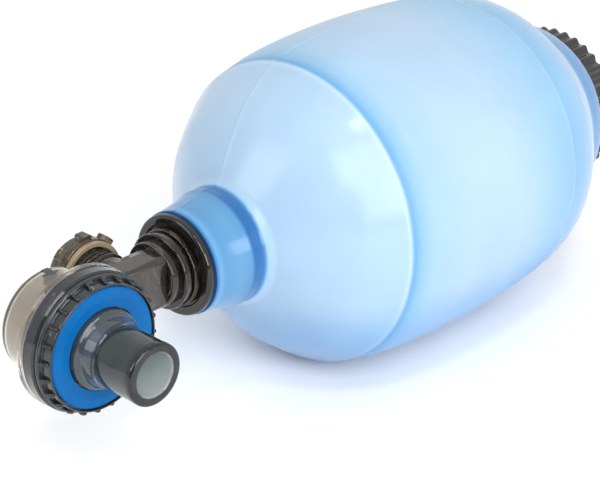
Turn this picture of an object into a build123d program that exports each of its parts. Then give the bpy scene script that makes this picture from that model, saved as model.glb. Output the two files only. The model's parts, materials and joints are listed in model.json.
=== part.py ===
from build123d import *
import math
import os

os.makedirs("parts", exist_ok=True)

# Self-inflating resuscitator bag with its patient valve head, lying on its side.
# +X runs along the bag axis towards the rear intake, -Y is the way the patient port points, +Z is up.
# The origin is the middle of the small flat the soft bag rests on. All sizes in millimetres.

# overall sizes
AXIS_HEIGHT = 65.0        # bag axis above the surface it rests on
FLANGE_BACK = 120.0       # the neck flange's plane ahead of the origin
HEAD_OFFSET = 58.5        # port axis ahead of the flange plane
BAG_RADIUS = 67.8         # widest part of the bag
BAG_WALL = 3.0            # silicone wall
WALL = 2.0                # moulded plastic wall

# fits
RUN_GAP = 0.05            # radial clearance of parts that turn or slide in each other
SEAT_GAP = 0.02           # clearance between parts fixed to each other
FACE_GAP = 0.05           # clearance between flat faces of parts fixed to each other
TURN_GAP = 0.3            # clearance between faces that move past each other

# patient port side, distances along the port axis measured from the bag axis
CUP_BACK = -3.9
CUP_RADIUS = 19.6
CUP_CORNER = 4.0
DRUM_RADIUS = 25.3
DRUM_START = 14.5
FLANGE_THICK = 2.7
GASKET_THICK = 1.0
DRUM_FRONT = 22.4
PLATE_FRONT = 27.0
PLATE_INSET = 3.4         # how far the plate stands in from the drum's edge
PLATE_RADIUS = DRUM_RADIUS - PLATE_INSET
DISC_RADIUS = PLATE_RADIUS - 0.5
DISC_THICK = 1.3
RING_FRONT = 28.4
RIB_COUNT = 24
CONNECTOR_RADIUS = 11.0   # 22 mm outside connector
CONNECTOR_BORE = 7.5      # 15 mm inside connector
CONNECTOR_END = 53.3
CONNECTOR_BASE = 35.6
HUB_WALL = 2.0            # how far the turning hub stands out from the connector
HUB_RADIUS = CONNECTOR_RADIUS + HUB_WALL
BASE_RING_RADIUS = HUB_RADIUS + 1.1
CLIP_RISE = 1.4           # how far a retaining clip stands out of its groove's edge
SKIRT_BACK = 22.9
SEAT_OPENING = 8.5

# duct between the neck and the valve head
DUCT_BACK = -4.4
DUCT_FRONT = 8.6
DUCT_HEIGHT = 20.0
COLLAR_RADIUS = 14.6
SPIGOT_RADIUS = 12.0
AIR_BORE = 9.4

# relief valve on the back of the duct, distances along +Y from the bag axis
RELIEF_AHEAD = 27.0       # relief axis ahead of the flange plane
BARREL_RADIUS = 10.0
THREAD_RADIUS = 10.8
THREAD_PITCH = 2.0
BARREL_END = 20.4
CAP_START = 16.2
CAP_RADIUS = 13.4
LUG_RADIUS = 15.2
LUG_COUNT = 8
CAP_END = 21.4
DOME_END = 25.2

# bag necks
NECK_BORE = 17.2
NECK_MOUTH = 1.8
NECK_LENGTH = 19.0
NECK_WALL = 2.8           # silicone wall of the front neck's mouth
FLANGE_RADIUS = NECK_BORE + 2.3
REAR_BORE = 27.5
REAR_MOUTH = 226.0
REAR_LIP = 3.0            # thickness of the lip that the rear ring clamps

# rear intake valve
INTAKE_LEDGE = 4.7        # how far the intake plate reaches past the rear bore
INTAKE_RADIUS = REAR_BORE + INTAKE_LEDGE
REAR_RIM = 2.8            # wall of the rear ring around the intake plate
REAR_RING_RADIUS = INTAKE_RADIUS + REAR_RIM
REAR_LOBES = 38
LOBE_RADIUS = 1.9         # rounded end of each grip lobe
LOBE_REACH = 1.2          # how far the lobes stand out of the rear ring
SOCKET_LENGTH = 9.0       # rear socket behind the bag's mouth
SOCKET_END = REAR_MOUTH + SOCKET_LENGTH
FLAP_RADIUS = 21.5
COVER_RADIUS = 29.6
COVER_LENGTH = 14.6       # rear cover behind the socket
COVER_END = SOCKET_END + COVER_LENGTH
PORT_RADIUS = 13.8
PORT_BORE = 11.0
PORT_LENGTH = 14.0
PORT_END = COVER_END + PORT_LENGTH
NIPPLE_RADIUS = 3.0
NIPPLE_OFFSET = 21.6
NIPPLE_LENGTH = 22.0
NIPPLE_END = COVER_END + NIPPLE_LENGTH

FLANGE_X = -FLANGE_BACK
HEAD_X = FLANGE_X - HEAD_OFFSET
RELIEF_X = FLANGE_X - RELIEF_AHEAD

# profile planes: first coordinate along the axis, second the radius
bag_plane = Plane(origin=(FLANGE_X, 0, AXIS_HEIGHT), x_dir=(1, 0, 0), z_dir=(0, -1, 0))
bag_axis = Axis((0, 0, AXIS_HEIGHT), (1, 0, 0))
port_plane = Plane(origin=(HEAD_X, 0, AXIS_HEIGHT), x_dir=(0, -1, 0), z_dir=(-1, 0, 0))
port_axis = Axis((HEAD_X, 0, AXIS_HEIGHT), (0, -1, 0))
relief_plane = Plane(origin=(RELIEF_X, 0, AXIS_HEIGHT), x_dir=(0, 1, 0), z_dir=(1, 0, 0))
relief_axis = Axis((RELIEF_X, 0, AXIS_HEIGHT), (0, 1, 0))
nipple_plane = Plane(
    origin=(FLANGE_X, 0, AXIS_HEIGHT - NIPPLE_OFFSET), x_dir=(1, 0, 0), z_dir=(0, -1, 0)
)
nipple_axis = Axis((0, 0, AXIS_HEIGHT - NIPPLE_OFFSET), (1, 0, 0))


def outline(plane, points, rounding=0.0):
    """A closed outline on a profile plane, its corners rounded if asked."""
    with BuildSketch(plane) as sketch:
        with BuildLine():
            if rounding > 0:
                FilletPolyline(*points, radius=rounding, close=True)
            else:
                Polyline(*points, close=True)
        make_face()
    return sketch.sketch


def band(plane, start, end, inner, outer, rounding=0.0):
    """The outline of a plain ring from start to end along the axis."""
    corners = [(start, inner), (end, inner), (end, outer), (start, outer)]
    return outline(plane, corners, rounding)


def across_bag(distance):
    """A plane across the bag axis, facing the rear."""
    return Plane(origin=(FLANGE_X + distance, 0, AXIS_HEIGHT), x_dir=(0, 1, 0), z_dir=(1, 0, 0))


def across_port(distance):
    """A plane across the port axis, facing the patient."""
    return Plane(origin=(HEAD_X, -distance, AXIS_HEIGHT), x_dir=(1, 0, 0), z_dir=(0, -1, 0))


def across_relief(distance):
    """A plane across the relief axis, facing away from the duct."""
    return Plane(origin=(RELIEF_X, distance, AXIS_HEIGHT), x_dir=(-1, 0, 0), z_dir=(0, 1, 0))


# ---------------------------------------------------------------- bag
STEP = 0.9                # height of the two moulded steps around the bag
front_line = [
    (27.0, NECK_BORE + 8.0), (31.0, NECK_BORE + 14.6), (36.5, NECK_BORE + 22.6),
    (45.0, BAG_RADIUS - 18.0), (55.0, BAG_RADIUS - 10.4), (60.4, BAG_RADIUS - 6.8),
]
middle_line = [
    (61.6, BAG_RADIUS - 6.8 + STEP), (76.0, BAG_RADIUS - 2.9), (96.0, BAG_RADIUS - 0.9),
    (120.0, BAG_RADIUS), (144.0, BAG_RADIUS - 0.5), (161.0, BAG_RADIUS - 1.4),
]
shoulder_line = [
    (REAR_MOUTH - 23.0, REAR_RING_RADIUS + 13.6), (REAR_MOUTH - 19.4, REAR_RING_RADIUS + 11.6),
    (REAR_MOUTH - 13.0, REAR_RING_RADIUS + 10.0), (REAR_MOUTH - 7.0, REAR_RING_RADIUS + 7.8),
    (REAR_MOUTH - 2.6, REAR_RING_RADIUS + 4.6), (REAR_MOUTH - 0.4, REAR_RING_RADIUS + 0.8),
]
rear_line = [
    (162.2, BAG_RADIUS - 1.4 - STEP), (172.0, BAG_RADIUS - 2.9), (181.0, BAG_RADIUS - 5.5),
    (189.0, BAG_RADIUS - 10.2), (196.0, REAR_RING_RADIUS + 16.8), shoulder_line[0],
]


def inward(points, depth):
    """The same line moved inwards by a wall's depth."""
    moved = []
    for i in range(len(points)):
        before = points[max(i - 1, 0)]
        after = points[min(i + 1, len(points) - 1)]
        along = after[0] - before[0]
        out = after[1] - before[1]
        length = math.hypot(along, out)
        moved.append((points[i][0] + depth * out / length, points[i][1] - depth * along / length))
    return moved


with BuildPart() as bag_space:
    with BuildSketch(bag_plane) as space_face:
        with BuildLine():
            bag_line = front_line + middle_line[1:-1] + rear_line[1:] + shoulder_line[1:-1]
            inner_line = inward(bag_line, BAG_WALL)
            start_point = (NECK_MOUTH - 1, NECK_BORE)
            neck_point = (NECK_LENGTH + 3.0, NECK_BORE)
            end_point = (REAR_MOUTH + 1, REAR_BORE)
            lip_top = (REAR_MOUTH - REAR_LIP, inner_line[-1][1] - 2.5)
            lip_edge = (REAR_MOUTH - REAR_LIP, REAR_BORE)
            Polyline((NECK_MOUTH - 1, 0), start_point, neck_point, inner_line[0])
            Spline(*inner_line)
            Polyline(inner_line[-1], lip_top, lip_edge, end_point, (REAR_MOUTH + 1, 0))
            Line((REAR_MOUTH + 1, 0), (NECK_MOUTH - 1, 0))
        make_face()
    revolve(axis=bag_axis)
    with Locations((0, 0, BAG_WALL - 50)):
        Box(400, 200, 100, mode=Mode.SUBTRACT)

with BuildPart() as bag:
    with BuildSketch(bag_plane) as bag_face:
        with BuildLine():
            neck_outside = NECK_BORE + NECK_WALL
            Line((NECK_MOUTH, 0), (NECK_MOUTH, neck_outside))
            Spline((NECK_MOUTH, neck_outside), (9.0, neck_outside + 0.9),
                   (15.0, neck_outside + 2.2), (18.0, neck_outside + 3.1),
                   (20.6, neck_outside + 2.7), (23.4, neck_outside + 2.8), front_line[0])
            Spline(*front_line)
            Line(front_line[-1], middle_line[0])
            Spline(*middle_line)
            Line(middle_line[-1], rear_line[0])
            Spline(*rear_line)
            Spline(*shoulder_line)
            Polyline(shoulder_line[-1], (REAR_MOUTH, REAR_RING_RADIUS), (REAR_MOUTH, 0))
            Line((REAR_MOUTH, 0), (NECK_MOUTH, 0))
        make_face()
    revolve(axis=bag_axis)
    with Locations((0, 0, -50)):
        Box(400, 200, 100, mode=Mode.SUBTRACT)
    add(bag_space.part, mode=Mode.SUBTRACT)

# ---------------------------------------------------------------- neck flange in the bag's front neck
with BuildPart() as neck_flange:
    revolve(band(bag_plane, -1.8, NECK_MOUTH - FACE_GAP, 15.2, FLANGE_RADIUS, 1.3), axis=bag_axis)
    revolve(
        band(bag_plane, -1.3, NECK_LENGTH, SPIGOT_RADIUS, NECK_BORE - SEAT_GAP), axis=bag_axis
    )

# ---------------------------------------------------------------- valve housing
duct_depth = DUCT_FRONT - DUCT_BACK
duct_mid = (DUCT_FRONT + DUCT_BACK) / 2
duct_end = -9.0
duct_start = -HEAD_OFFSET + CUP_RADIUS - 6.0
spigot = SPIGOT_RADIUS - RUN_GAP
spigot_end = NECK_LENGTH + 2.4
flange_end = DRUM_START + FLANGE_THICK

with BuildPart() as valve_housing:
    # collar and swivel spigot
    revolve(band(bag_plane, -12.4, -8.0, AIR_BORE, 12.4, 0.8), axis=bag_axis)
    revolve(band(bag_plane, -8.6, -5.0, AIR_BORE, COLLAR_RADIUS, 0.9), axis=bag_axis)
    revolve(band(bag_plane, -6.0, -2.4, AIR_BORE, 13.2), axis=bag_axis)
    revolve(band(bag_plane, -4.2, -2.1, 13.0 - 2, 14.9, 0.6), axis=bag_axis)
    revolve(band(bag_plane, -6.0, spigot_end, AIR_BORE, spigot), axis=bag_axis)
    # duct
    with BuildSketch(across_bag(duct_start)):
        with Locations((-duct_mid, 0)):
            RectangleRounded(duct_depth, DUCT_HEIGHT, 2.4)
    extrude(amount=duct_end - duct_start)
    # chamber cup with its drum flange
    with BuildSketch(port_plane):
        with BuildLine():
            Line((CUP_BACK, 0), (CUP_BACK, CUP_RADIUS - 0.8 - CUP_CORNER))
            RadiusArc((CUP_BACK, CUP_RADIUS - 0.8 - CUP_CORNER),
                      (CUP_BACK + CUP_CORNER, CUP_RADIUS - 0.8), CUP_CORNER)
            Polyline((CUP_BACK + CUP_CORNER, CUP_RADIUS - 0.8), (DRUM_START, CUP_RADIUS),
                     (DRUM_START, DRUM_RADIUS - 0.5), (DRUM_START + 0.5, DRUM_RADIUS),
                     (flange_end, DRUM_RADIUS), (flange_end, 0), (CUP_BACK, 0))
        make_face()
    revolve(axis=port_axis)
    # relief barrel with its thread ridges
    revolve(band(relief_plane, 2.0, BARREL_END, 0, BARREL_RADIUS), axis=relief_axis)
    ridge = 7.0
    while ridge < BARREL_END - 1.5:
        crest = [(ridge, BARREL_RADIUS - 0.3), (ridge + 0.25, THREAD_RADIUS),
                 (ridge + 0.75, THREAD_RADIUS), (ridge + 1.0, BARREL_RADIUS - 0.3)]
        revolve(outline(relief_plane, crest), axis=relief_axis)
        ridge = ridge + THREAD_PITCH
    # chamber, duct and barrel passages
    with BuildSketch(port_plane):
        with BuildLine():
            inside = CUP_RADIUS - 0.8 - WALL
            bottom = CUP_BACK + WALL
            Line((bottom, 0), (bottom, inside - 2))
            RadiusArc((bottom, inside - 2), (bottom + 2, inside), 2)
            Polyline((bottom + 2, inside), (flange_end, inside), (flange_end, 0), (bottom, 0))
        make_face()
    revolve(axis=port_axis, mode=Mode.SUBTRACT)
    duct_low = bottom
    duct_high = DUCT_FRONT - WALL
    inner_start = duct_start - 1.0
    inner_end = -10.4
    with Locations(
        (FLANGE_X + (inner_start + inner_end) / 2, -(duct_low + duct_high) / 2, AXIS_HEIGHT)
    ):
        Box(inner_end - inner_start, duct_high - duct_low, DUCT_HEIGHT - 2 * WALL,
            mode=Mode.SUBTRACT)
    revolve(band(bag_plane, inner_end - 3.0, spigot_end, 0, AIR_BORE - 3.0), axis=bag_axis,
            mode=Mode.SUBTRACT)
    revolve(band(bag_plane, -8.6, spigot_end, 0, AIR_BORE), axis=bag_axis, mode=Mode.SUBTRACT)
    revolve(band(relief_plane, 1.0, BARREL_END, 0, 4.6), axis=relief_axis, mode=Mode.SUBTRACT)
    revolve(band(relief_plane, 4.9, BARREL_END, 0, 7.8), axis=relief_axis, mode=Mode.SUBTRACT)
    # groove for the swivel seal and for the retaining clip
    revolve(band(bag_plane, 7.0, 9.0, spigot - 1.0, spigot + 1), axis=bag_axis, mode=Mode.SUBTRACT)
    revolve(band(bag_plane, NECK_LENGTH + 0.3, spigot_end - 0.9, spigot - 0.9, spigot + 1),
            axis=bag_axis, mode=Mode.SUBTRACT)

with BuildPart() as swivel_seal:
    revolve(
        band(bag_plane, 7.0 + SEAT_GAP, 9.0 - SEAT_GAP, spigot - 1.0 + SEAT_GAP,
             SPIGOT_RADIUS - SEAT_GAP, 0.4),
        axis=bag_axis,
    )

with BuildPart() as swivel_clip:
    revolve(
        band(bag_plane, NECK_LENGTH + 0.3 + SEAT_GAP, spigot_end - 0.9 - SEAT_GAP,
             spigot - 0.9 + SEAT_GAP, SPIGOT_RADIUS + 2.4, 0.3),
        axis=bag_axis,
    )
    # the clip is split so it can spring open
    with Locations((FLANGE_X + NECK_LENGTH + 1, 0, AXIS_HEIGHT + SPIGOT_RADIUS + 1)):
        Box(6, 3.0, 5, mode=Mode.SUBTRACT)

# ---------------------------------------------------------------- drum on the patient side
gasket_front = flange_end + GASKET_THICK
seat_front = flange_end + 1.6
seat_radius = inside + 1.8

with BuildPart() as drum_gasket:
    revolve(
        band(port_plane, flange_end + FACE_GAP, gasket_front, seat_radius + 0.2, DRUM_RADIUS - 0.5, 0.2),
        axis=port_axis,
    )

with BuildPart() as inlet_seat:
    revolve(band(port_plane, flange_end + FACE_GAP, seat_front, SEAT_OPENING, seat_radius),
            axis=port_axis)
    revolve(band(port_plane, seat_front - 0.2, seat_front + 0.5, SEAT_OPENING, SEAT_OPENING + 1.2),
            axis=port_axis)
    revolve(band(port_plane, flange_end + FACE_GAP, seat_front, 0, 2.4), axis=port_axis)
    with BuildSketch(across_port(flange_end + FACE_GAP)):
        with PolarLocations(0, 4):
            Rectangle(SEAT_OPENING + 1, 1.6, align=(Align.MIN, Align.CENTER))
    extrude(amount=1.5)

body_back = gasket_front + FACE_GAP
hub_bore = HUB_RADIUS + RUN_GAP
collar = HUB_RADIUS + 2.0

with BuildPart() as drum_body:
    revolve(
        outline(port_plane, [
            (body_back, PLATE_RADIUS - 1.9), (body_back, DRUM_RADIUS - 0.3),
            (DRUM_FRONT - 0.6, DRUM_RADIUS - 0.3),
            (DRUM_FRONT, DRUM_RADIUS - 0.9), (DRUM_FRONT, PLATE_RADIUS), (PLATE_FRONT, PLATE_RADIUS),
            (PLATE_FRONT, hub_bore), (PLATE_FRONT - 2.6, hub_bore), (PLATE_FRONT - 2.6, collar),
            (PLATE_FRONT - 1.6, collar), (PLATE_FRONT - 1.6, PLATE_RADIUS - 1.9),
        ]),
        axis=port_axis,
    )
    # exhaust windows
    with BuildSketch(across_port(PLATE_FRONT - 3)):
        with BuildLine():
            turn = math.radians(16)
            low = HUB_RADIUS + 2.8
            high = PLATE_RADIUS - 2.1
            start_low = (low * math.cos(turn), -low * math.sin(turn))
            end_low = (low * math.cos(turn), low * math.sin(turn))
            start_high = (high * math.cos(turn), -high * math.sin(turn))
            end_high = (high * math.cos(turn), high * math.sin(turn))
            ThreePointArc(start_low, (low, 0), end_low)
            Line(end_low, end_high)
            ThreePointArc(end_high, (high, 0), start_high)
            Line(start_high, start_low)
        window = make_face(mode=Mode.PRIVATE)
        with PolarLocations(0, 8):
            add(window)
    extrude(amount=4, mode=Mode.SUBTRACT)

with BuildPart() as lock_ring:
    revolve(
        outline(port_plane, [
            (DRUM_FRONT + FACE_GAP, PLATE_RADIUS + SEAT_GAP),
            (DRUM_FRONT + FACE_GAP, PLATE_RADIUS + 2.0), (DRUM_FRONT + 0.9, PLATE_RADIUS + 2.3),
            (DRUM_FRONT + 1.2, PLATE_RADIUS + 1.7), (RING_FRONT - 1.0, PLATE_RADIUS + 1.0),
            (RING_FRONT - 0.7, PLATE_RADIUS + 1.4), (RING_FRONT, PLATE_RADIUS + 1.1),
            (RING_FRONT + 0.15, PLATE_RADIUS + 0.6), (RING_FRONT, PLATE_RADIUS + SEAT_GAP),
        ]),
        axis=port_axis,
    )
    # rounded grip ribs
    rib_length = RING_FRONT - DRUM_FRONT - 1.3
    with BuildSketch(across_port(DRUM_FRONT + 0.7)):
        with PolarLocations(PLATE_RADIUS + 1.6, RIB_COUNT):
            Circle(0.95)
    extrude(amount=rib_length)
    revolve(band(port_plane, DRUM_FRONT, RING_FRONT, 0, PLATE_RADIUS + SEAT_GAP),
            axis=port_axis, mode=Mode.SUBTRACT)

with BuildPart() as exhalation_disc:
    disc_inner = BASE_RING_RADIUS + 0.5
    disc_back = PLATE_FRONT + FACE_GAP
    revolve(
        outline(port_plane, [
            (disc_back, disc_inner), (disc_back, DISC_RADIUS - 0.2), (disc_back + 0.3, DISC_RADIUS),
            (disc_back + DISC_THICK - 0.5, DISC_RADIUS), (disc_back + DISC_THICK, DISC_RADIUS - 0.6),
            (disc_back + DISC_THICK + 0.3, (DISC_RADIUS + disc_inner) / 2),
            (disc_back + DISC_THICK, disc_inner),
        ]),
        axis=port_axis,
    )

clip_back = SKIRT_BACK + 0.5
clip_front = PLATE_FRONT - 2.6 - 0.1
with BuildPart() as patient_connector:
    revolve(
        outline(port_plane, [
            (SKIRT_BACK, HUB_RADIUS - 1.8), (SKIRT_BACK, HUB_RADIUS), (PLATE_FRONT + 0.2, HUB_RADIUS),
            (PLATE_FRONT + 0.2, BASE_RING_RADIUS - 0.4), (PLATE_FRONT + 0.6, BASE_RING_RADIUS),
            (PLATE_FRONT + 2.8, BASE_RING_RADIUS), (PLATE_FRONT + 3.3, BASE_RING_RADIUS - 0.5),
            (PLATE_FRONT + 3.3, HUB_RADIUS + 0.2), (PLATE_FRONT + 4.2, HUB_RADIUS - 0.6),
            (CONNECTOR_BASE - 0.6, CONNECTOR_RADIUS + 0.5), (CONNECTOR_BASE, CONNECTOR_RADIUS + 0.5),
            (CONNECTOR_BASE + 0.5, CONNECTOR_RADIUS),
            (CONNECTOR_END - 0.8, CONNECTOR_RADIUS), (CONNECTOR_END - 0.25, CONNECTOR_RADIUS - 0.25),
            (CONNECTOR_END, CONNECTOR_RADIUS - 0.8), (CONNECTOR_END, CONNECTOR_BORE + 0.6),
            (CONNECTOR_END - 0.6, CONNECTOR_BORE), (CONNECTOR_END - 18.0, CONNECTOR_BORE),
            (PLATE_FRONT + 4.0, HUB_RADIUS - 3.0), (PLATE_FRONT + 2.0, HUB_RADIUS - 1.8),
        ]),
        axis=port_axis,
    )
    revolve(band(port_plane, clip_back, clip_front, HUB_RADIUS - 0.7, HUB_RADIUS + 1),
            axis=port_axis, mode=Mode.SUBTRACT)

with BuildPart() as connector_clip:
    revolve(
        band(port_plane, clip_back + SEAT_GAP, clip_front - SEAT_GAP, HUB_RADIUS - 0.7 + SEAT_GAP,
             HUB_RADIUS + CLIP_RISE, 0.25),
        axis=port_axis,
    )
    with Locations((HEAD_X, -(clip_back + 0.4), AXIS_HEIGHT + HUB_RADIUS + 0.4)):
        Box(3.0, 5, 4, mode=Mode.SUBTRACT)

# ---------------------------------------------------------------- duckbill lip valve
lip_back = seat_front + 0.5 + FACE_GAP
lip_base = lip_back + 1.2
lip_tip = lip_back + 9.6
with BuildPart() as lip_valve:
    revolve(band(port_plane, lip_back, lip_base, 0, 10.6, 0.3), axis=port_axis)
    with BuildSketch(across_port(lip_base - 0.3)):
        Circle(9.2)
    with BuildSketch(across_port(lip_tip)):
        SlotOverall(15.6, 2.2)
    loft()
    with BuildSketch(across_port(lip_back)):
        Circle(7.9)
    with BuildSketch(across_port(lip_tip - 1.4)):
        SlotOverall(12.6, 1.0)
    loft(mode=Mode.SUBTRACT)
    with BuildSketch(across_port(lip_tip - 2)):
        Rectangle(12.0, 0.4)
    extrude(amount=3, mode=Mode.SUBTRACT)

# ---------------------------------------------------------------- relief valve
with BuildPart() as relief_collar:
    revolve(band(relief_plane, CAP_START - 2.2, CAP_START - TURN_GAP, THREAD_RADIUS + 0.3,
                 CAP_RADIUS - 0.4, 0.4), axis=relief_axis)

with BuildPart() as relief_cap:
    revolve(band(relief_plane, CAP_START, CAP_END, THREAD_RADIUS + 0.3, CAP_RADIUS, 0.5),
            axis=relief_axis)
    with BuildSketch(across_relief(CAP_START + 0.4)):
        with PolarLocations(CAP_RADIUS - 1, LUG_COUNT):
            RectangleRounded(2 * (LUG_RADIUS - CAP_RADIUS + 1), 4.2, 0.8)
    extrude(amount=4.4)
    revolve(band(relief_plane, CAP_START - 1, 22, 0, THREAD_RADIUS + 0.3), axis=relief_axis,
            mode=Mode.SUBTRACT)

with BuildPart() as relief_dome:
    revolve(
        outline(relief_plane, [
            (CAP_END + FACE_GAP, 9.0), (CAP_END + FACE_GAP, CAP_RADIUS - 0.5), (DOME_END - 2.0, 12.7),
            (DOME_END - 0.6, 11.8), (DOME_END, 10.2), (DOME_END, 0), (DOME_END - 1.8, 0),
            (DOME_END - 1.8, 9.0),
        ]),
        axis=relief_axis,
    )
    # vent holes through the end
    with BuildSketch(across_relief(DOME_END - 3)):
        with PolarLocations(7.2, 6):
            Circle(1.3)
    extrude(amount=4, mode=Mode.SUBTRACT)
    revolve(band(relief_plane, 20.6, DOME_END - 1.6, 0, 2.6), axis=relief_axis)

with BuildPart() as relief_disc:
    revolve(band(relief_plane, 4.9 + FACE_GAP, 6.5, 0, 7.2, 0.3), axis=relief_axis)
    revolve(band(relief_plane, 6.0, 9.0, 0, 2.4), axis=relief_axis)

spring_radius = 3.9
spring_wire = 0.45
with BuildPart() as relief_spring:
    spring_start = 6.5 + 2 * spring_wire
    spring_length = DOME_END - 1.8 - 6.5 - 4 * spring_wire
    with BuildLine():
        coil = Helix(
            pitch=spring_length / 6.0, height=spring_length, radius=spring_radius,
            center=(RELIEF_X, spring_start, AXIS_HEIGHT), direction=(0, 1, 0),
        )
    with BuildSketch(Plane(origin=coil @ 0, z_dir=coil % 0)):
        Circle(spring_wire)
    sweep(path=coil)

# ---------------------------------------------------------------- rear neck and intake valve
lip_inside = REAR_MOUTH - REAR_LIP - FACE_GAP
head_start = REAR_MOUTH + 4.6
with BuildPart() as rear_socket:
    revolve(band(bag_plane, lip_inside - 2.2, SOCKET_END, REAR_BORE - 2.4, REAR_BORE - SEAT_GAP),
            axis=bag_axis)
    revolve(band(bag_plane, lip_inside - 2.2, lip_inside, REAR_BORE - 2.0, REAR_BORE + 5.0, 0.5),
            axis=bag_axis)
    revolve(band(bag_plane, head_start, SOCKET_END, REAR_BORE - 2.0, INTAKE_RADIUS, 0.5),
            axis=bag_axis)

plate_back = SOCKET_END + FACE_GAP
plate_rear = plate_back + 2.2
stud_radius = 2.2
with BuildPart() as intake_plate:
    revolve(band(bag_plane, plate_back, plate_rear, stud_radius + SEAT_GAP, INTAKE_RADIUS),
            axis=bag_axis)
    with BuildSketch(across_bag(plate_back - 1)):
        with BuildLine():
            swing = math.radians(25)
            near = 8.0
            far = 18.5
            first_low = (near * math.cos(swing), -near * math.sin(swing))
            last_low = (near * math.cos(swing), near * math.sin(swing))
            first_high = (far * math.cos(swing), -far * math.sin(swing))
            last_high = (far * math.cos(swing), far * math.sin(swing))
            ThreePointArc(first_low, (near, 0), last_low)
            Line(last_low, last_high)
            ThreePointArc(last_high, (far, 0), first_high)
            Line(first_high, first_low)
        opening = make_face(mode=Mode.PRIVATE)
        with PolarLocations(0, 6):
            add(opening)
    extrude(amount=5, mode=Mode.SUBTRACT)

flap_thick = 1.0
flap_lift = 2.0
with BuildPart() as intake_flap:
    revolve(
        band(bag_plane, plate_back - FACE_GAP - flap_thick, plate_back - FACE_GAP,
             stud_radius + RUN_GAP, FLAP_RADIUS, 0.3),
        axis=bag_axis,
    )

with BuildPart() as flap_stud:
    head_front = plate_back - FACE_GAP - flap_thick - flap_lift - TURN_GAP
    revolve(band(bag_plane, head_front - 1.4, head_front, 0, 4.6, 0.4), axis=bag_axis)
    revolve(band(bag_plane, head_front - 0.6, plate_rear + 0.5, 0, stud_radius), axis=bag_axis)
    revolve(band(bag_plane, plate_rear + FACE_GAP, plate_rear + 1.4, 0, 3.6, 0.4), axis=bag_axis)

ring_start = REAR_MOUTH + FACE_GAP
ring_end = plate_rear + 3.6
ring_bore = INTAKE_RADIUS + SEAT_GAP
with BuildPart() as rear_ring:
    revolve(
        outline(bag_plane, [
            (ring_start, REAR_BORE + 0.5), (ring_start, REAR_RING_RADIUS - 0.6),
            (ring_start + 0.6, REAR_RING_RADIUS), (ring_end - 0.6, REAR_RING_RADIUS),
            (ring_end, REAR_RING_RADIUS - 0.6), (ring_end, COVER_RADIUS + 1.3),
            (plate_rear + 2.2, COVER_RADIUS + 1.3), (plate_rear + 2.2, ring_bore),
            (head_start - FACE_GAP, ring_bore), (head_start - FACE_GAP, REAR_BORE + 0.5),
        ]),
        axis=bag_axis,
    )
    # rounded grip lobes
    with BuildSketch(across_bag(ring_start + 0.6)):
        with PolarLocations(REAR_RING_RADIUS + LOBE_REACH - LOBE_RADIUS, REAR_LOBES):
            Circle(LOBE_RADIUS)
    extrude(amount=ring_end - ring_start - 1.2)
    revolve(band(bag_plane, head_start - FACE_GAP, plate_rear + 2.2, 0, ring_bore),
            axis=bag_axis, mode=Mode.SUBTRACT)

cover_start = plate_rear + FACE_GAP
port_shelf = COVER_END - WALL
with BuildPart() as rear_cover:
    revolve(
        outline(bag_plane, [
            (cover_start, COVER_RADIUS - WALL), (cover_start, INTAKE_RADIUS - 0.6),
            (cover_start + 2.1, INTAKE_RADIUS - 0.6), (cover_start + 2.1, COVER_RADIUS),
            (COVER_END - 3.0, COVER_RADIUS), (COVER_END - 0.9, COVER_RADIUS - 0.9),
            (COVER_END, COVER_RADIUS - 3.0), (COVER_END, PORT_RADIUS), (PORT_END - 0.6, PORT_RADIUS),
            (PORT_END, PORT_RADIUS - 0.6), (PORT_END, PORT_BORE), (port_shelf, PORT_BORE),
            (port_shelf, COVER_RADIUS - 3.5), (COVER_END - 3.5, COVER_RADIUS - WALL),
        ]),
        axis=bag_axis,
    )
    # outlet holes under the overflow flap, and the hole for the oxygen nipple
    with BuildSketch(across_bag(port_shelf - 1)):
        with PolarLocations(15.6, 8, start_angle=22.5):
            Circle(1.1)
        with Locations((0, -NIPPLE_OFFSET)):
            Circle(NIPPLE_RADIUS + 0.4)
    extrude(amount=WALL + 2, mode=Mode.SUBTRACT)

with BuildPart() as overflow_flap:
    revolve(band(bag_plane, COVER_END + FACE_GAP, COVER_END + 0.95, PORT_RADIUS + RUN_GAP, 17.3, 0.2),
            axis=bag_axis)

with BuildPart() as overflow_stop:
    revolve(band(bag_plane, COVER_END + 2.3, COVER_END + 3.7, PORT_RADIUS + SEAT_GAP, 15.6, 0.3),
            axis=bag_axis)

with BuildPart() as oxygen_nipple:
    inside_start = port_shelf - 1.6
    revolve(
        outline(nipple_plane, [
            (inside_start, 1.6), (inside_start, 4.3), (port_shelf - FACE_GAP, 4.3),
            (port_shelf - FACE_GAP, NIPPLE_RADIUS + 0.4 - SEAT_GAP),
            (COVER_END + FACE_GAP, NIPPLE_RADIUS + 0.4 - SEAT_GAP), (COVER_END + FACE_GAP, 4.1),
            (COVER_END + 1.8, 4.1), (COVER_END + 2.2, NIPPLE_RADIUS), (NIPPLE_END - 9.0, NIPPLE_RADIUS),
            (NIPPLE_END - 9.0, NIPPLE_RADIUS - 0.6), (NIPPLE_END - 6.2, NIPPLE_RADIUS - 0.6),
            (NIPPLE_END - 6.0, NIPPLE_RADIUS), (NIPPLE_END - 3.2, NIPPLE_RADIUS - 0.6),
            (NIPPLE_END - 3.0, NIPPLE_RADIUS), (NIPPLE_END, NIPPLE_RADIUS - 0.8),
            (NIPPLE_END, 1.6),
        ]),
        axis=nipple_axis,
    )

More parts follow.
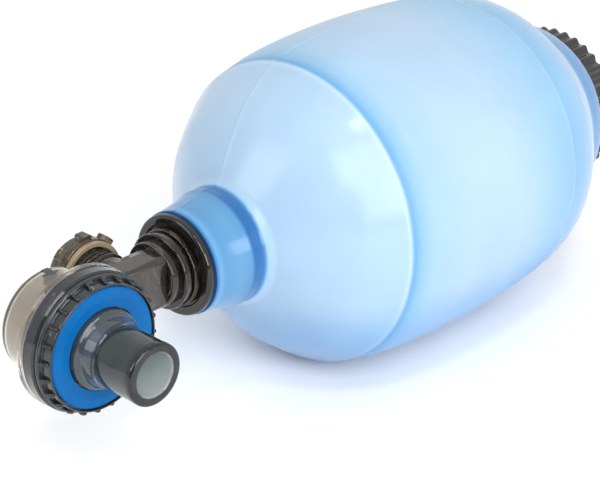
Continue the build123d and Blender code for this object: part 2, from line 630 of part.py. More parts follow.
pieces = {
    "bag": bag,
    "neck_flange": neck_flange,
    "valve_housing": valve_housing,
    "swivel_seal": swivel_seal,
    "swivel_clip": swivel_clip,
    "drum_gasket": drum_gasket,
    "inlet_seat": inlet_seat,
    "drum_body": drum_body,
    "lock_ring": lock_ring,
    "exhalation_disc": exhalation_disc,
    "patient_connector": patient_connector,
    "connector_clip": connector_clip,
    "lip_valve": lip_valve,
    "relief_collar": relief_collar,
    "relief_cap": relief_cap,
    "relief_dome": relief_dome,
    "relief_disc": relief_disc,
    "relief_spring": relief_spring,
    "rear_socket": rear_socket,
    "intake_plate": intake_plate,
    "intake_flap": intake_flap,
    "flap_stud": flap_stud,
    "rear_ring": rear_ring,
    "rear_cover": rear_cover,
    "overflow_flap": overflow_flap,
    "overflow_stop": overflow_stop,
    "oxygen_nipple": oxygen_nipple,
}
for name, piece in pieces.items():
    piece.part.label = name
    export_step(piece.part, "parts/" + name + ".step")
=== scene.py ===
import json
import math

import bmesh
import bpy
from mathutils import Matrix, Vector


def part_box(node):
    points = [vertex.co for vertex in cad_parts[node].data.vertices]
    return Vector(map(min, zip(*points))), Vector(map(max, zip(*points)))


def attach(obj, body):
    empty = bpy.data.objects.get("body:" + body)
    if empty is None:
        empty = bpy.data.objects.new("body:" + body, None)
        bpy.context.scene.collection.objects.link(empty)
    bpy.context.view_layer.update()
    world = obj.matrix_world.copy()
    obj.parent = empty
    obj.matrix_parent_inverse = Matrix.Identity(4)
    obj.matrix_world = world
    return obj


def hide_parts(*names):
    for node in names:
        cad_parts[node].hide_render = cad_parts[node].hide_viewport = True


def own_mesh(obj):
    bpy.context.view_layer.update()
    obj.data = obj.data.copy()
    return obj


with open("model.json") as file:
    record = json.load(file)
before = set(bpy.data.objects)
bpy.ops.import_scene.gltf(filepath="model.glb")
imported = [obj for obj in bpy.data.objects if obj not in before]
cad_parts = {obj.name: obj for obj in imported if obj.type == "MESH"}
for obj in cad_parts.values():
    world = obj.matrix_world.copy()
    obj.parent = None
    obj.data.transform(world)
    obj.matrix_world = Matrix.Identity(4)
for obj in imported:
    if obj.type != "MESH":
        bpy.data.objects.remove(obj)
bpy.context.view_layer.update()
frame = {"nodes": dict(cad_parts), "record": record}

MM = 0.001
nodes = frame["nodes"]


# ------------------------------------------------------------ places read from the frame
def middle(name):
    low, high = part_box(name)
    return (low + high) / 2


def size(name):
    low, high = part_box(name)
    return (high - low) / MM


FLANGE_LIP = 1.8          # the neck flange's lip, ahead of the place that bag distances start at
NECK_PROUD = 0.5          # how far the bag's neck stands out from the neck flange
NECK_WALL = 2.8
PLATE_INSET = 3.1         # how far the drum's plate stands in from the drum body's edge
HUB_WALL = 2.0            # how far the connector's hub stands out from its tube
BASE_RING = 1.1           # how far the base ring stands out from the hub
TUBE_BORE = 7.5
BAG_WALL = 3.0
STEP_HEIGHT = 0.9         # height of the two moulded steps around the bag
STEP_REACH = 0.6          # half the length that a step takes along the bag
FRONT_STEP = 61.0
REAR_STEP = 161.6

# Metres, as the frame gives them.
AXIS_Z = middle("neck_flange").z
HEAD_X = middle("lock_ring").x
RELIEF_X = middle("relief_cap").x
FLANGE_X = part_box("neck_flange")[0].x + FLANGE_LIP * MM

# Millimetres: along the bag from FLANGE_X, along the port forward from the bag's axis, and radii.
BAG_RADIUS = size("bag").y / 2
NECK_RADIUS = size("neck_flange").y / 2 + NECK_PROUD
BAG_START = (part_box("bag")[0].x - FLANGE_X) / MM
BAG_END = (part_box("bag")[1].x - FLANGE_X) / MM
RING_START = (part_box("rear_ring")[0].x - FLANGE_X) / MM
RING_END = (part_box("rear_ring")[1].x - FLANGE_X) / MM
RING_RADIUS = size("rear_ring").y / 2
PLATE_RADIUS = size("drum_body").x / 2 - PLATE_INSET
DRUM_FRONT = -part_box("lock_ring")[1].y / MM
LOCK_FRONT = -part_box("lock_ring")[0].y / MM
TUBE_BACK = -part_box("patient_connector")[1].y / MM
TUBE_END = -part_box("patient_connector")[0].y / MM
TUBE_RADIUS = size("patient_connector").x / 2 - HUB_WALL - BASE_RING


# ------------------------------------------------------------ colours and materials
BLACK = (0, 0, 0, 1)
WHITE = (1, 1, 1, 1)
CLEAR_IOR = 1.5


def srgb(r, g, b):
    out = []
    for v in (r, g, b):
        v = v / 255.0
        out.append(v / 12.92 if v <= 0.04045 else ((v + 0.055) / 1.055) ** 2.4)
    return (*out, 1.0)


def new_material(name):
    m = bpy.data.materials.new(name)
    m.use_nodes = True
    return m, m.node_tree, m.node_tree.nodes["Principled BSDF"]


def node(tree, kind, **values):
    n = tree.nodes.new(kind)
    for key, value in values.items():
        setattr(n, key, value)
    return n


def object_place(tree):
    return node(tree, "ShaderNodeTexCoord").outputs["Object"]


def noise(tree, scale, detail=3.0, rough=0.5):
    n = node(tree, "ShaderNodeTexNoise")
    n.inputs["Scale"].default_value = scale
    n.inputs["Detail"].default_value = detail
    n.inputs["Roughness"].default_value = rough
    tree.links.new(object_place(tree), n.inputs["Vector"])
    return n.outputs["Fac"]


def ramp(tree, source, stops, smooth=False):
    """A colour ramp fed by source, its stops given as (position, colour)."""
    n = node(tree, "ShaderNodeValToRGB")
    n.color_ramp.interpolation = "EASE" if smooth else "LINEAR"
    marks = n.color_ramp.elements
    while len(marks) < len(stops):
        marks.new(0.5)
    for mark, (place, colour) in zip(marks, sorted(stops, key=lambda s: s[0])):
        mark.position = place
        mark.color = colour
    tree.links.new(source, n.inputs["Fac"])
    return n.outputs["Color"]


def mix(tree, factor, first, second, kind="MIX"):
    n = node(tree, "ShaderNodeMix", data_type="RGBA", blend_type=kind)
    for socket, value in ((0, factor), (6, first), (7, second)):
        if isinstance(value, (int, float, tuple)):
            n.inputs[socket].default_value = value
        else:
            tree.links.new(value, n.inputs[socket])
    return n.outputs[2]


def scaled(tree, source, low, high, out_low=0.0, out_high=1.0):
    n = node(tree, "ShaderNodeMapRange")
    for index, value in ((1, low), (2, high), (3, out_low), (4, out_high)):
        n.inputs[index].default_value = value
    tree.links.new(source, n.inputs[0])
    return n.outputs[0]


def bump(tree, shader, height, strength, distance):
    n = node(tree, "ShaderNodeBump")
    n.inputs["Strength"].default_value = strength
    n.inputs["Distance"].default_value = distance
    tree.links.new(height, n.inputs["Height"])
    tree.links.new(n.outputs["Normal"], shader.inputs["Normal"])


def axis_place(tree, axis):
    n = node(tree, "ShaderNodeSeparateXYZ")
    tree.links.new(object_place(tree), n.inputs[0])
    return n.outputs[axis]


def shade(colour, amount):
    return (colour[0] * amount, colour[1] * amount, colour[2] * amount, 1.0)


def clouded(tree, colour, cloud, spread):
    """The colour, darker and lighter by spread as the noise goes."""
    return ramp(tree, cloud, [(0.3, shade(colour, 1 - spread)), (0.7, shade(colour, 1 + spread))])


def smoky(name, colour, rough, transmission):
    """Clear moulded plastic with faint flow clouds and a slightly uneven polish."""
    m, tree, p = new_material(name)
    body = clouded(tree, colour, noise(tree, 55.0, 3.0, 0.55), 0.12)
    tree.links.new(body, p.inputs["Base Color"])
    polish = scaled(tree, noise(tree, 240.0), 0.3, 0.7, rough * 0.6, rough * 1.5)
    tree.links.new(polish, p.inputs["Roughness"])
    p.inputs["Transmission Weight"].default_value = transmission
    p.inputs["IOR"].default_value = CLEAR_IOR
    bump(tree, p, noise(tree, 130.0, 1.0), 0.02, 0.0003)
    return m


def soft_rubber(name, colour, rough, spread, under):
    """Moulded rubber or satin plastic with a fine grain, lit from under its skin by the share under."""
    m, tree, p = new_material(name)
    body = clouded(tree, colour, noise(tree, 70.0, 4.0), spread)
    tree.links.new(body, p.inputs["Base Color"])
    polish = scaled(tree, noise(tree, 500.0), 0.3, 0.7, rough * 0.8, rough * 1.2)
    tree.links.new(polish, p.inputs["Roughness"])
    p.inputs["Subsurface Weight"].default_value = under
    p.inputs["Subsurface Scale"].default_value = 0.001
    bump(tree, p, noise(tree, 1400.0, 2.0), 0.05, 0.0002)
    return m


def steel():
    m, tree, p = new_material("spring_wire")
    drawn = ramp(tree, noise(tree, 900.0), [(0.3, srgb(150, 152, 156)), (0.7, srgb(196, 198, 202))])
    tree.links.new(drawn, p.inputs["Base Color"])
    p.inputs["Metallic"].default_value = 1.0
    p.inputs["Roughness"].default_value = 0.25
    return m


def bag_material():
    """Light blue silicone: a glossy front cone and rear dome, and a frosted stretch between the steps, with
    painted highlights and painted shade in its colour.
    """
    m, tree, p = new_material("bag_silicone")
    along = axis_place(tree, "X")
    run = scaled(tree, along, FLANGE_X, FLANGE_X + BAG_END * MM)

    def at(distance):
        return distance / BAG_END

    pale = srgb(172, 192, 214)
    cone = srgb(174, 196, 220)
    blue = srgb(98, 156, 200)
    neck = srgb(90, 144, 188)
    crease_shade = srgb(34, 98, 158)
    # Colour along the bag: the silicone's own tones, with painted light. The darkest bands, against the neck
    # flange and in the hollow behind the bead, are painted shade. The lighter line just behind the flange
    # and the pale lines on the two steps and on the rear lip are painted highlights.
    stops = [
        (at(1.8), crease_shade), (at(3.6), srgb(110, 162, 202)), (at(6.0), neck), (at(13.0), srgb(100, 150, 190)),
        (at(16.8), neck), (at(18.2), crease_shade), (at(23.6), srgb(46, 112, 172)), (at(24.6), srgb(160, 196, 228)),
        (at(26.4), cone), (at(FRONT_STEP - 1.1), cone), (at(FRONT_STEP - 0.5), srgb(190, 208, 226)),
        (at(FRONT_STEP + 0.3), srgb(186, 206, 226)), (at(FRONT_STEP + 0.9), blue),
        (at(66.0), srgb(140, 180, 212)), (at(72.0), srgb(162, 190, 216)), (at(92.0), pale),
        (at(120.0), pale), (at(150.0), srgb(148, 182, 210)), (at(REAR_STEP - 0.8), srgb(140, 178, 208)),
        (at(REAR_STEP + 0.2), srgb(178, 202, 222)), (at(REAR_STEP + 1.6), srgb(130, 172, 206)),
        (at(176.0), srgb(146, 178, 208)),
        (at(192.0), srgb(160, 184, 212)), (at(200.0), srgb(180, 194, 218)), (at(206.0), srgb(92, 142, 190)),
        (at(219.0), srgb(84, 136, 186)), (at(225.0), srgb(172, 186, 212)),
    ]
    length_colour = ramp(tree, run, stops)
    # painted shade: the bag turns a deeper blue towards its underside, by height
    height = scaled(tree, axis_place(tree, "Z"), 0.0, 0.125)
    underside_shade = ramp(tree, height, [(0.0, srgb(108, 188, 244)), (0.2, srgb(152, 208, 249)),
                                     (0.4, srgb(244, 248, 254)), (1.0, WHITE)], smooth=True)
    tinted = mix(tree, 0.62, length_colour, underside_shade, "MULTIPLY")
    clouds = ramp(tree, noise(tree, 22.0, 3.0), [(0.3, srgb(226, 234, 236)), (0.7, srgb(237, 244, 244))])
    tree.links.new(mix(tree, 1.0, tinted, clouds, "MULTIPLY"), p.inputs["Base Color"])

    frosted = ramp(tree, run, [(at(FRONT_STEP - 0.2), BLACK), (at(FRONT_STEP + 2.0), WHITE),
                               (at(REAR_STEP - 1.6), WHITE), (at(REAR_STEP + 1.4), BLACK)])
    tree.links.new(scaled(tree, frosted, 0.0, 1.0, 0.2, 0.5), p.inputs["Roughness"])
    stipple = node(tree, "ShaderNodeTexVoronoi")
    stipple.inputs["Scale"].default_value = 620.0
    tree.links.new(object_place(tree), stipple.inputs["Vector"])
    grain = node(tree, "ShaderNodeMath", operation="MULTIPLY")
    tree.links.new(frosted, grain.inputs[0])
    tree.links.new(stipple.outputs["Distance"], grain.inputs[1])
    bump(tree, p, grain.outputs[0], 0.16, 0.0004)
    p.inputs["Subsurface Weight"].default_value = 0.35
    p.inputs["Subsurface Radius"].default_value = (0.5, 0.8, 1.0)
    p.inputs["Subsurface Scale"].default_value = 0.006
    p.inputs["IOR"].default_value = 1.41
    p.inputs["Sheen Weight"].default_value = 0.12
    p.inputs["Sheen Roughness"].default_value = 0.4
    return m


def connector_material():
    """Smoked connector whose end is almost black, with its bore painted pale as painted light, for light
    shining through the bore.
    """
    m, tree, p = new_material("connector_smoke")
    run = scaled(tree, axis_place(tree, "Y"), -TUBE_BACK * MM, -TUBE_END * MM)
    end = (0.02, 0.02, 0.022, 1)
    stops = [(0.0, (0.40, 0.46, 0.50, 1)), (0.38, (0.38, 0.44, 0.48, 1)), (0.44, (0.10, 0.12, 0.13, 1)),
             (0.86, (0.08, 0.095, 0.10, 1)), (0.92, end), (1.0, end)]
    body = ramp(tree, run, stops)
    clouds = ramp(tree, noise(tree, 60.0), [(0.3, (0.85, 0.85, 0.85, 1)), (0.7, WHITE)])
    walls = mix(tree, 1.0, body, clouds, "MULTIPLY")

    # outside is 0 at the bore and 1 a little way out from it
    centred = node(tree, "ShaderNodeVectorMath", operation="SUBTRACT")
    tree.links.new(object_place(tree), centred.inputs[0])
    centred.inputs[1].default_value = (HEAD_X, 0, AXIS_Z)
    flat = node(tree, "ShaderNodeVectorMath", operation="MULTIPLY")
    tree.links.new(centred.outputs[0], flat.inputs[0])
    flat.inputs[1].default_value = (1, 0, 1)
    radius = node(tree, "ShaderNodeVectorMath", operation="LENGTH")
    tree.links.new(flat.outputs[0], radius.inputs[0])
    outside = scaled(tree, radius.outputs["Value"], (TUBE_BORE + 0.1) * MM, (TUBE_BORE + 0.7) * MM)
    # painted light: the bore is pale and less clear, standing in for light shining through and reflected in
    # it
    tree.links.new(mix(tree, outside, (0.56, 0.63, 0.60, 1), walls), p.inputs["Base Color"])
    tree.links.new(scaled(tree, outside, 0.0, 1.0, 0.5, 0.9), p.inputs["Transmission Weight"])
    p.inputs["Roughness"].default_value = 0.05
    p.inputs["IOR"].default_value = CLEAR_IOR
    return m


def housing_material():
    """Clear warm cup with painted shade along its back edge, a darker smoke along the duct, and a brown
    collar.
    """
    m, tree, p = new_material("housing_clear")
    run = scaled(tree, axis_place(tree, "X"), HEAD_X, FLANGE_X)
    length = (FLANGE_X - HEAD_X) / MM
    cup = srgb(238, 231, 218)
    duct = srgb(160, 151, 143)
    collar = srgb(92, 80, 70)
    body = ramp(tree, run, [(0.0, cup), (19 / length, cup), (24 / length, duct),
                            (1 - 15 / length, duct), (1 - 11 / length, collar)])
    # painted shade: the cup darkens along its back edge
    cup_back = 3.9
    edge_depth = 2.0
    back_edge_shade = scaled(tree, axis_place(tree, "Y"), cup_back * MM, (cup_back - edge_depth) * MM)
    edge_shaded = mix(tree, back_edge_shade, (0.16, 0.15, 0.14, 1), body)
    clouds = ramp(tree, noise(tree, 60.0), [(0.3, (0.88, 0.87, 0.85, 1)), (0.7, WHITE)])
    tree.links.new(mix(tree, 1.0, edge_shaded, clouds, "MULTIPLY"), p.inputs["Base Color"])
    p.inputs["Roughness"].default_value = 0.04
    p.inputs["Transmission Weight"].default_value = 0.94
    p.inputs["IOR"].default_value = CLEAR_IOR
    return m


dark = smoky("dark_polished", (0.018, 0.016, 0.015, 1), rough=0.06, transmission=0.35)
drum_smoke = smoky("drum_smoke", (0.13, 0.135, 0.15, 1), rough=0.05, transmission=0.85)
amber = smoky("amber_clear", (0.20, 0.16, 0.11, 1), rough=0.05, transmission=0.85)
pale_clear = smoky("pale_clear", (0.42, 0.37, 0.30, 1), rough=0.05, transmission=0.9)
ring_smoke = smoky("ring_smoke", (0.045, 0.055, 0.065, 1), rough=0.07, transmission=0.5)
tan = soft_rubber("tan_satin", srgb(142, 126, 102), rough=0.3, spread=0.08, under=0.0)
blue_rubber = soft_rubber("blue_silicone", srgb(0, 88, 150), rough=0.5, spread=0.06, under=0.0)
blue_rubber.node_tree.nodes["Principled BSDF"].inputs["Specular IOR Level"].default_value = 0.12
milky = soft_rubber("milky_silicone", srgb(226, 230, 230), rough=0.4, spread=0.04, under=0.3)
gasket_dark = soft_rubber("gasket_dark", srgb(44, 44, 92), rough=0.35, spread=0.08, under=0.0)
wire = steel()
housing = housing_material()
connector_smoke = connector_material()
bag_silicone = bag_material()

finish = {
    "dark_plastic": dark, "smoke_plastic": drum_smoke, "pale_plastic": pale_clear,
    "amber_plastic": amber, "tan_plastic": tan, "blue_silicone": blue_rubber,
    "clear_silicone": milky, "spring_steel": wire, "bag_silicone": bag_silicone,
}
special = {"valve_housing": housing, "drum_gasket": gasket_dark}
slots = {row["node"]: row["material_slot"] for row in frame["record"]["subparts"]}
for name, piece in nodes.items():
    piece.data.materials.clear()
    piece.data.materials.append(special.get(name, finish[slots[name]]))


# ------------------------------------------------------------ mesh helpers
def smooth_line(points, steps=6):
    """A smooth curve through the points, without overshoot at uneven spacing."""
    out = [points[0]]
    for i in range(len(points) - 1):
        p0 = Vector(points[max(i - 1, 0)])
        p1 = Vector(points[i])
        p2 = Vector(points[i + 1])
        p3 = Vector(points[min(i + 2, len(points) - 1)])
        gap = (p2 - p1).length
        first = (p2 - p0) * (gap / max((p2 - p0).length, 1e-6))
        last = (p3 - p1) * (gap / max((p3 - p1).length, 1e-6))
        for k in range(1, steps + 1):
            t = k / steps
            point = (p1 * (2 * t**3 - 3 * t**2 + 1) + first * (t**3 - 2 * t**2 + t)
                     + p2 * (3 * t**2 - 2 * t**3) + last * (t**3 - t**2))
            out.append((point.x, point.y))
    return out


def rounded(points, radius, steps=4):
    """A closed outline with each corner rounded, as far as its edges allow."""
    out = []
    count = len(points)
    for i in range(count):
        before = Vector(points[i - 1])
        here = Vector(points[i])
        after = Vector(points[(i + 1) % count])
        # at least a tenth of each edge stays straight
        room = min((before - here).length, (after - here).length) * 0.45
        reach = min(radius, room)
        start = here + (before - here).normalized() * reach
        end = here + (after - here).normalized() * reach
        for k in range(steps + 1):
            t = k / steps
            point = start * (1 - t) ** 2 + here * 2 * t * (1 - t) + end * t**2
            out.append((point.x, point.y))
    return out


def along_bag(s, r, turn):
    return Vector((FLANGE_X + s * MM, r * math.sin(turn) * MM, AXIS_Z + r * math.cos(turn) * MM))


def along_port(t, r, turn):
    return Vector((HEAD_X + r * math.sin(turn) * MM, -t * MM, AXIS_Z + r * math.cos(turn) * MM))


def finish_mesh(name, bm, material, body, replaces=(), sharp=40.0):
    """Turns a bmesh into a smooth-shaded piece that rides on its body."""
    bmesh.ops.recalc_face_normals(bm, faces=bm.faces)
    limit = math.radians(sharp)
    for face in bm.faces:
        face.smooth = True
    for edge in bm.edges:
        edge.smooth = edge.calc_face_angle(0.0) < limit
    mesh = bpy.data.meshes.new(name)
    bm.to_mesh(mesh)
    bm.free()
    piece = bpy.data.objects.new(name, mesh)
    bpy.context.scene.collection.objects.link(piece)
    mesh.materials.append(material)
    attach(piece, body)
    if replaces:
        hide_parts(*replaces)
    return piece


def lathe(bm, place, profile, turns, shape=None):
    """Revolves a closed profile into a closed skin, with shape() moving each point if given."""
    rows = []
    for turn in turns:
        row = []
        for s, r in profile:
            if shape:
                s, r = shape(s, r, turn)
            row.append(bm.verts.new(place(s, r, turn)))
        rows.append(row)
    count = len(profile)
    for i in range(len(rows)):
        here = rows[i]
        following = rows[(i + 1) % len(rows)]
        for j in range(count):
            k = (j + 1) % count
            bm.faces.new((here[j], here[k], following[k], following[j]))
    return rows


def even_turns(count):
    return [2 * math.pi * i / count for i in range(count)]


# ------------------------------------------------------------ the bag
CONE_DROP = 6.8           # how far the front cone's end is inside the bag's full radius
REAR_DROP = 1.4           # the same for the middle's rear end
NECK_BORE_END = 22.0
MOUTH_BORE = 27.5
MOUTH_INSIDE = 31.0       # radius of the inner skin where it meets the rear mouth
NECK_LINE = [(BAG_START, NECK_RADIUS), (9.0, NECK_RADIUS + 0.9), (15.0, NECK_RADIUS + 2.2),
             (18.0, NECK_RADIUS + 3.1), (20.6, NECK_RADIUS + 2.7), (23.4, NECK_RADIUS + 2.8),
             (27.0, NECK_RADIUS + 5.2)]
FRONT_LINE = [NECK_LINE[-1], (31.0, NECK_RADIUS + 11.8), (36.5, NECK_RADIUS + 19.8),
              (45.0, BAG_RADIUS - 18.0), (55.0, BAG_RADIUS - 10.4),
              (FRONT_STEP - STEP_REACH, BAG_RADIUS - CONE_DROP)]
MIDDLE_LINE = [(FRONT_STEP + STEP_REACH, BAG_RADIUS - CONE_DROP + STEP_HEIGHT),
               (76.0, BAG_RADIUS - 2.9), (96.0, BAG_RADIUS - 0.9), (120.0, BAG_RADIUS),
               (144.0, BAG_RADIUS - 0.5), (REAR_STEP - STEP_REACH, BAG_RADIUS - REAR_DROP)]
LIP_RADIUS = RING_RADIUS - 1.5   # where the rear mouth tucks in against the rear ring
REAR_LINE = [(REAR_STEP + STEP_REACH, BAG_RADIUS - REAR_DROP - STEP_HEIGHT),
             (172.0, BAG_RADIUS - 2.9), (181.0, BAG_RADIUS - 5.5), (189.0, BAG_RADIUS - 10.2),
             (195.0, LIP_RADIUS + 17.4), (BAG_END - 23.0, LIP_RADIUS + 13.6),
             (BAG_END - 19.4, LIP_RADIUS + 11.6), (BAG_END - 13.0, LIP_RADIUS + 10.0),
             (BAG_END - 7.0, LIP_RADIUS + 7.8), (BAG_END - 2.6, LIP_RADIUS + 4.6),
             (BAG_END - 0.4, LIP_RADIUS + 0.8)]
SEAM_TURN = math.radians(9.0)
SEAM_HEIGHT = 0.28
SEAM_REACH = 1.0          # half the parting line's width
SEAM_OFFSETS = (-0.012, -0.007, -0.003, 0.0, 0.003, 0.007, 0.012)
FLAT_EASE = 1.5           # half the height over which the flat under the bag blends in


def bag_skin():
    outer = smooth_line(NECK_LINE, 5)[:-1] + smooth_line(FRONT_LINE, 8)
    outer += smooth_line(MIDDLE_LINE, 8) + smooth_line(REAR_LINE, 7)
    outer.append((BAG_END, LIP_RADIUS))
    # the inner skin follows every third point of the outer one, behind the neck
    inner = []
    for i in range(0, len(outer) - 1, 3):
        s, r = outer[i]
        if r > NECK_RADIUS + 6:
            after = outer[i + 1]
            run = Vector((after[0] - s, after[1] - r)).normalized()
            inner.append((s + BAG_WALL * run.y, r - BAG_WALL * run.x))
    bore = NECK_RADIUS - NECK_WALL
    inner = [(BAG_START, bore), (NECK_BORE_END, bore)] + inner
    inner += [(BAG_END - BAG_WALL, MOUTH_INSIDE), (BAG_END - BAG_WALL, MOUTH_BORE),
              (BAG_END, MOUTH_BORE)]
    split = len(outer)
    profile = outer + list(reversed(inner))

    # more turns close to the parting line, so that it comes out round
    turns = even_turns(192)
    for seam in (SEAM_TURN, SEAM_TURN + math.pi):
        for offset in SEAM_OFFSETS:
            turns.append((seam + offset) % (2 * math.pi))
    turns.sort()

    def parting(s, r, turn):
        swing = math.pi - abs(math.pi - (turn - SEAM_TURN) % (2 * math.pi))
        swing = min(swing, math.pi - swing)
        away = swing * r
        if s < BAG_END - 2 and away < SEAM_REACH and r > NECK_RADIUS - 1:
            r += SEAM_HEIGHT * math.cos(away / SEAM_REACH * math.pi / 2) ** 2
        return s, r

    bm = bmesh.new()
    rows = lathe(bm, along_bag, profile, turns, parting)
    soft = FLAT_EASE * MM
    for row in rows:
        for index, vert in enumerate(row):
            floor_z = 0.0 if index < split else BAG_WALL * MM
            under = vert.co.z - floor_z
            if under < -soft:
                vert.co.z = floor_z
            elif under < soft:
                vert.co.z = floor_z + (under + soft) ** 2 / (4 * soft)
    finish_mesh("bag_skin", bm, bag_silicone, "bag_body", ["bag"], sharp=30.0)


# ------------------------------------------------------------ drum ring with its pegs
RIB_COUNT = 24
RIB_PHASE = math.radians(7.2)


def lock_ring():
    outline = rounded([
        (DRUM_FRONT, PLATE_RADIUS + 0.05), (DRUM_FRONT, PLATE_RADIUS + 2.4),
        (DRUM_FRONT + 1.3, PLATE_RADIUS + 2.5), (DRUM_FRONT + 1.7, PLATE_RADIUS + 2.1),
        (DRUM_FRONT + 1.9, PLATE_RADIUS + 0.75), (LOCK_FRONT - 0.5, PLATE_RADIUS + 0.7),
        (LOCK_FRONT - 0.1, PLATE_RADIUS + 0.5), (LOCK_FRONT - 0.1, PLATE_RADIUS + 0.05),
    ], radius=0.3)
    bm = bmesh.new()
    lathe(bm, along_port, outline, even_turns(192))
    finish_mesh("lock_ring_band", bm, ring_smoke, "valve_head", ["lock_ring"])

    bm = bmesh.new()
    for i in range(RIB_COUNT):
        turn = RIB_PHASE + 2 * math.pi * i / RIB_COUNT
        outward = Vector((math.sin(turn), 0, math.cos(turn)))
        across = Vector((math.cos(turn), 0, -math.sin(turn)))
        turned = Matrix((across, Vector((0, -1, 0)), outward)).transposed().to_4x4()
        # place forward, place outward, and half sizes
        bar = (DRUM_FRONT + 3.4, PLATE_RADIUS + 1.35, (0.7, 1.9, 1.05))
        knob = (LOCK_FRONT - 1.3, PLATE_RADIUS + 1.15, (0.85, 0.85, 0.85))
        for forward_place, out_place, half in (bar, knob):
            turned.translation = along_port(forward_place, out_place, turn)
            made = bmesh.ops.create_uvsphere(bm, u_segments=20, v_segments=12, radius=1.0)
            for vert in made["verts"]:
                vert.co = turned @ Vector([vert.co[k] * half[k] * MM for k in range(3)])
    finish_mesh("lock_ring_pegs", bm, dark, "valve_head")


# ------------------------------------------------------------ patient connector
SHOULDER = 35.0           # where the hub's cone meets the tube


def patient_connector():
    hub = TUBE_RADIUS + HUB_WALL
    outline = rounded([
        (TUBE_BACK, hub - 1.8), (TUBE_BACK, hub), (LOCK_FRONT - 1.2, hub), (LOCK_FRONT - 1.2, hub + 0.7),
        (LOCK_FRONT - 0.8, hub + BASE_RING), (LOCK_FRONT + 1.4, hub + BASE_RING),
        (LOCK_FRONT + 1.9, hub + 0.2), (LOCK_FRONT + 2.8, hub - 0.6), (SHOULDER, TUBE_RADIUS + 0.5),
        (SHOULDER + 0.7, TUBE_RADIUS + 0.5), (SHOULDER + 1.1, TUBE_RADIUS),
        (TUBE_END - 3.2, TUBE_RADIUS - 0.1), (TUBE_END - 2.6, TUBE_RADIUS), (TUBE_END, TUBE_RADIUS),
        (TUBE_END, TUBE_BORE), (TUBE_END - 3.0, TUBE_BORE), (TUBE_END - 18.0, TUBE_BORE),
        (LOCK_FRONT + 2.6, hub - 3.0), (LOCK_FRONT + 0.6, hub - 1.8),
    ], radius=1.1, steps=6)
    bm = bmesh.new()
    lathe(bm, along_port, outline, even_turns(160))
    finish_mesh("connector_tube", bm, connector_smoke, "connector", ["patient_connector"])


# ------------------------------------------------------------ rear ring with scallops
REAR_LOBES = 38
RING_WALL = 4.3
SCALLOP_DEPTH = 0.75      # half the depth of a scallop at the ring's outside


def rear_ring():
    inner = RING_RADIUS - RING_WALL
    outline = rounded([
        (RING_START, inner), (RING_START, RING_RADIUS), (RING_END, RING_RADIUS), (RING_END, inner),
        (RING_END - 1.4, inner), (RING_END - 1.4, inner + 0.8), (RING_START + 5.0, inner + 0.8),
        (RING_START + 5.0, inner),
    ], radius=1.0, steps=5)

    def scallop(s, r, turn):
        if r > inner + 1.6:
            depth = SCALLOP_DEPTH * (r - inner) / RING_WALL
            r -= depth * (1 - math.cos(REAR_LOBES * turn))
        return s, r

    bm = bmesh.new()
    lathe(bm, along_bag, outline, even_turns(REAR_LOBES * 12), scallop)
    finish_mesh("rear_ring_scallops", bm, dark, "bag_body", ["rear_ring"])


# ------------------------------------------------------------ plain flow arrow moulded on the cup
ARROW_RADIUS = 18.8       # the cup's radius at its back, from which the arrow rises


def flow_arrow():
    outline = [(5.6, 0.0), (2.4, 3.6), (2.4, 1.4), (-1.0, 1.4), (-1.0, -1.4), (2.4, -1.4), (2.4, -3.6)]
    bm = bmesh.new()
    rings = []
    for rise in (-0.3, 0.25):
        ring = []
        for t, arc in outline:
            ring.append(bm.verts.new(along_port(t, ARROW_RADIUS + rise, arc / ARROW_RADIUS)))
        rings.append(ring)
    count = len(outline)
    for i in range(count):
        k = (i + 1) % count
        bm.faces.new((rings[0][i], rings[0][k], rings[1][k], rings[1][i]))
    bm.faces.new(rings[1])
    bm.faces.new(list(reversed(rings[0])))
    bmesh.ops.triangulate(bm, faces=bm.faces)
    finish_mesh("flow_arrow", bm, ring_smoke, "valve_head", sharp=20.0)


# ------------------------------------------------------------ relief spring
SPRING_WIRE = 0.45
SPRING_TURNS = 6


def relief_spring():
    low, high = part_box("relief_spring")
    wire_radius = SPRING_WIRE * MM
    coil_radius = (high.x - low.x) / 2 - wire_radius
    start = low.y + wire_radius
    length = high.y - low.y - 2 * wire_radius
    steps = 24 * SPRING_TURNS
    sides = 10
    bm = bmesh.new()
    rows = []
    for i in range(steps + 1):
        turn = 2 * math.pi * SPRING_TURNS * i / steps
        out = Vector((math.sin(turn), 0, math.cos(turn)))
        tangent = Vector((math.cos(turn) * coil_radius, length / (2 * math.pi * SPRING_TURNS),
                          -math.sin(turn) * coil_radius)).normalized()
        side = out.cross(tangent).normalized()
        centre = Vector((RELIEF_X, start + length * i / steps, AXIS_Z)) + out * coil_radius
        row = []
        for k in range(sides):
            angle = 2 * math.pi * k / sides
            row.append(bm.verts.new(centre + (out * math.cos(angle) + side * math.sin(angle)) * wire_radius))
        rows.append(row)
    for i in range(steps):
        for k in range(sides):
            following = (k + 1) % sides
            bm.faces.new((rows[i][k], rows[i][following], rows[i + 1][following], rows[i + 1][k]))
    bm.faces.new(rows[0])
    bm.faces.new(list(reversed(rows[-1])))
    coil = finish_mesh("relief_spring_coil", bm, wire, "relief_top", ["relief_spring"])
    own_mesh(coil)


# ------------------------------------------------------------ floor, camera and lights
# The camera was fitted to the outlines in the photo. EYE is in millimetres from the neck flange.
EYE = (-332.57, -362.78, 245.19)
FORWARD = (0.6662, 0.604, -0.4375)
RIGHT = (0.6768, -0.736, 0.0146)


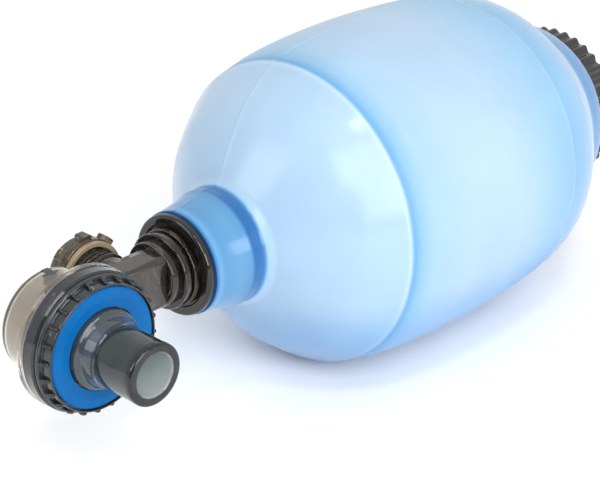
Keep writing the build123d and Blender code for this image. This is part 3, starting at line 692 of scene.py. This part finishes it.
def add_floor():
    bm = bmesh.new()
    bmesh.ops.create_grid(bm, x_segments=1, y_segments=1, size=6.0)
    mesh = bpy.data.meshes.new("floor")
    bm.to_mesh(mesh)
    bm.free()
    floor = bpy.data.objects.new("floor", mesh)
    bpy.context.scene.collection.objects.link(floor)
    paint, tree, shader = new_material("floor")
    paper = ramp(tree, noise(tree, 3.0), [(0.0, (0.93, 0.93, 0.935, 1)), (1.0, (0.95, 0.95, 0.955, 1))])
    tree.links.new(paper, shader.inputs["Base Color"])
    shader.inputs["Roughness"].default_value = 0.7
    mesh.materials.append(paint)


def add_camera():
    forward = Vector(FORWARD).normalized()
    right = Vector(RIGHT).normalized()
    up = right.cross(forward).normalized()
    lens = bpy.data.cameras.new("camera")
    lens.lens = 90
    lens.sensor_width = 36
    lens.clip_end = 50
    camera = bpy.data.objects.new("camera", lens)
    place = Matrix((right, up, -forward)).transposed().to_4x4()
    place.translation = Vector((FLANGE_X, 0, AXIS_Z)) + Vector(EYE) * MM
    camera.matrix_world = place
    bpy.context.scene.collection.objects.link(camera)
    bpy.context.scene.camera = camera


def add_world():
    """A studio that is bright behind the object and dim behind the camera."""
    world = bpy.data.worlds.new("studio")
    bpy.context.scene.world = world
    world.use_nodes = True
    tree = world.node_tree
    facing = node(tree, "ShaderNodeVectorMath", operation="DOT_PRODUCT")
    tree.links.new(node(tree, "ShaderNodeTexCoord").outputs["Generated"], facing.inputs[0])
    facing.inputs[1].default_value = (-0.74, -0.66, 0.12)
    sky = ramp(tree, facing.outputs["Value"], [(0.0, WHITE), (0.35, (0.8, 0.8, 0.8, 1)),
                                               (0.8, (0.16, 0.16, 0.17, 1))])
    background = tree.nodes["Background"]
    tree.links.new(sky, background.inputs[0])
    background.inputs[1].default_value = 0.95


def area(name, place, target, width, depth, power):
    light = bpy.data.lights.new(name, "AREA")
    light.shape = "RECTANGLE"
    light.size = width
    light.size_y = depth
    light.energy = power
    lamp = bpy.data.objects.new(name, light)
    lamp.location = place
    lamp.rotation_mode = "QUATERNION"
    lamp.rotation_quaternion = (Vector(target) - Vector(place)).to_track_quat("-Z", "Y")
    bpy.context.scene.collection.objects.link(lamp)


bag_skin()
lock_ring()
flow_arrow()
relief_spring()
patient_connector()
rear_ring()

add_floor()
add_camera()
add_world()
area("key", (-0.7, -1.0, 1.1), (-0.05, 0, 0.05), 0.9, 0.7, 10.5)
area("front_fill", (-0.2, -1.3, 0.5), (-0.04, -0.06, 0.0), 1.1, 0.6, 13)
area("side_fill", (-1.2, 0.4, 0.7), (-0.1, 0, 0.05), 0.7, 0.6, 4.5)
area("small_box", (-0.45, -0.55, 1.5), (-0.08, -0.02, 0.08), 0.22, 0.16, 3)
bpy.context.scene.view_settings.view_transform = "Standard"
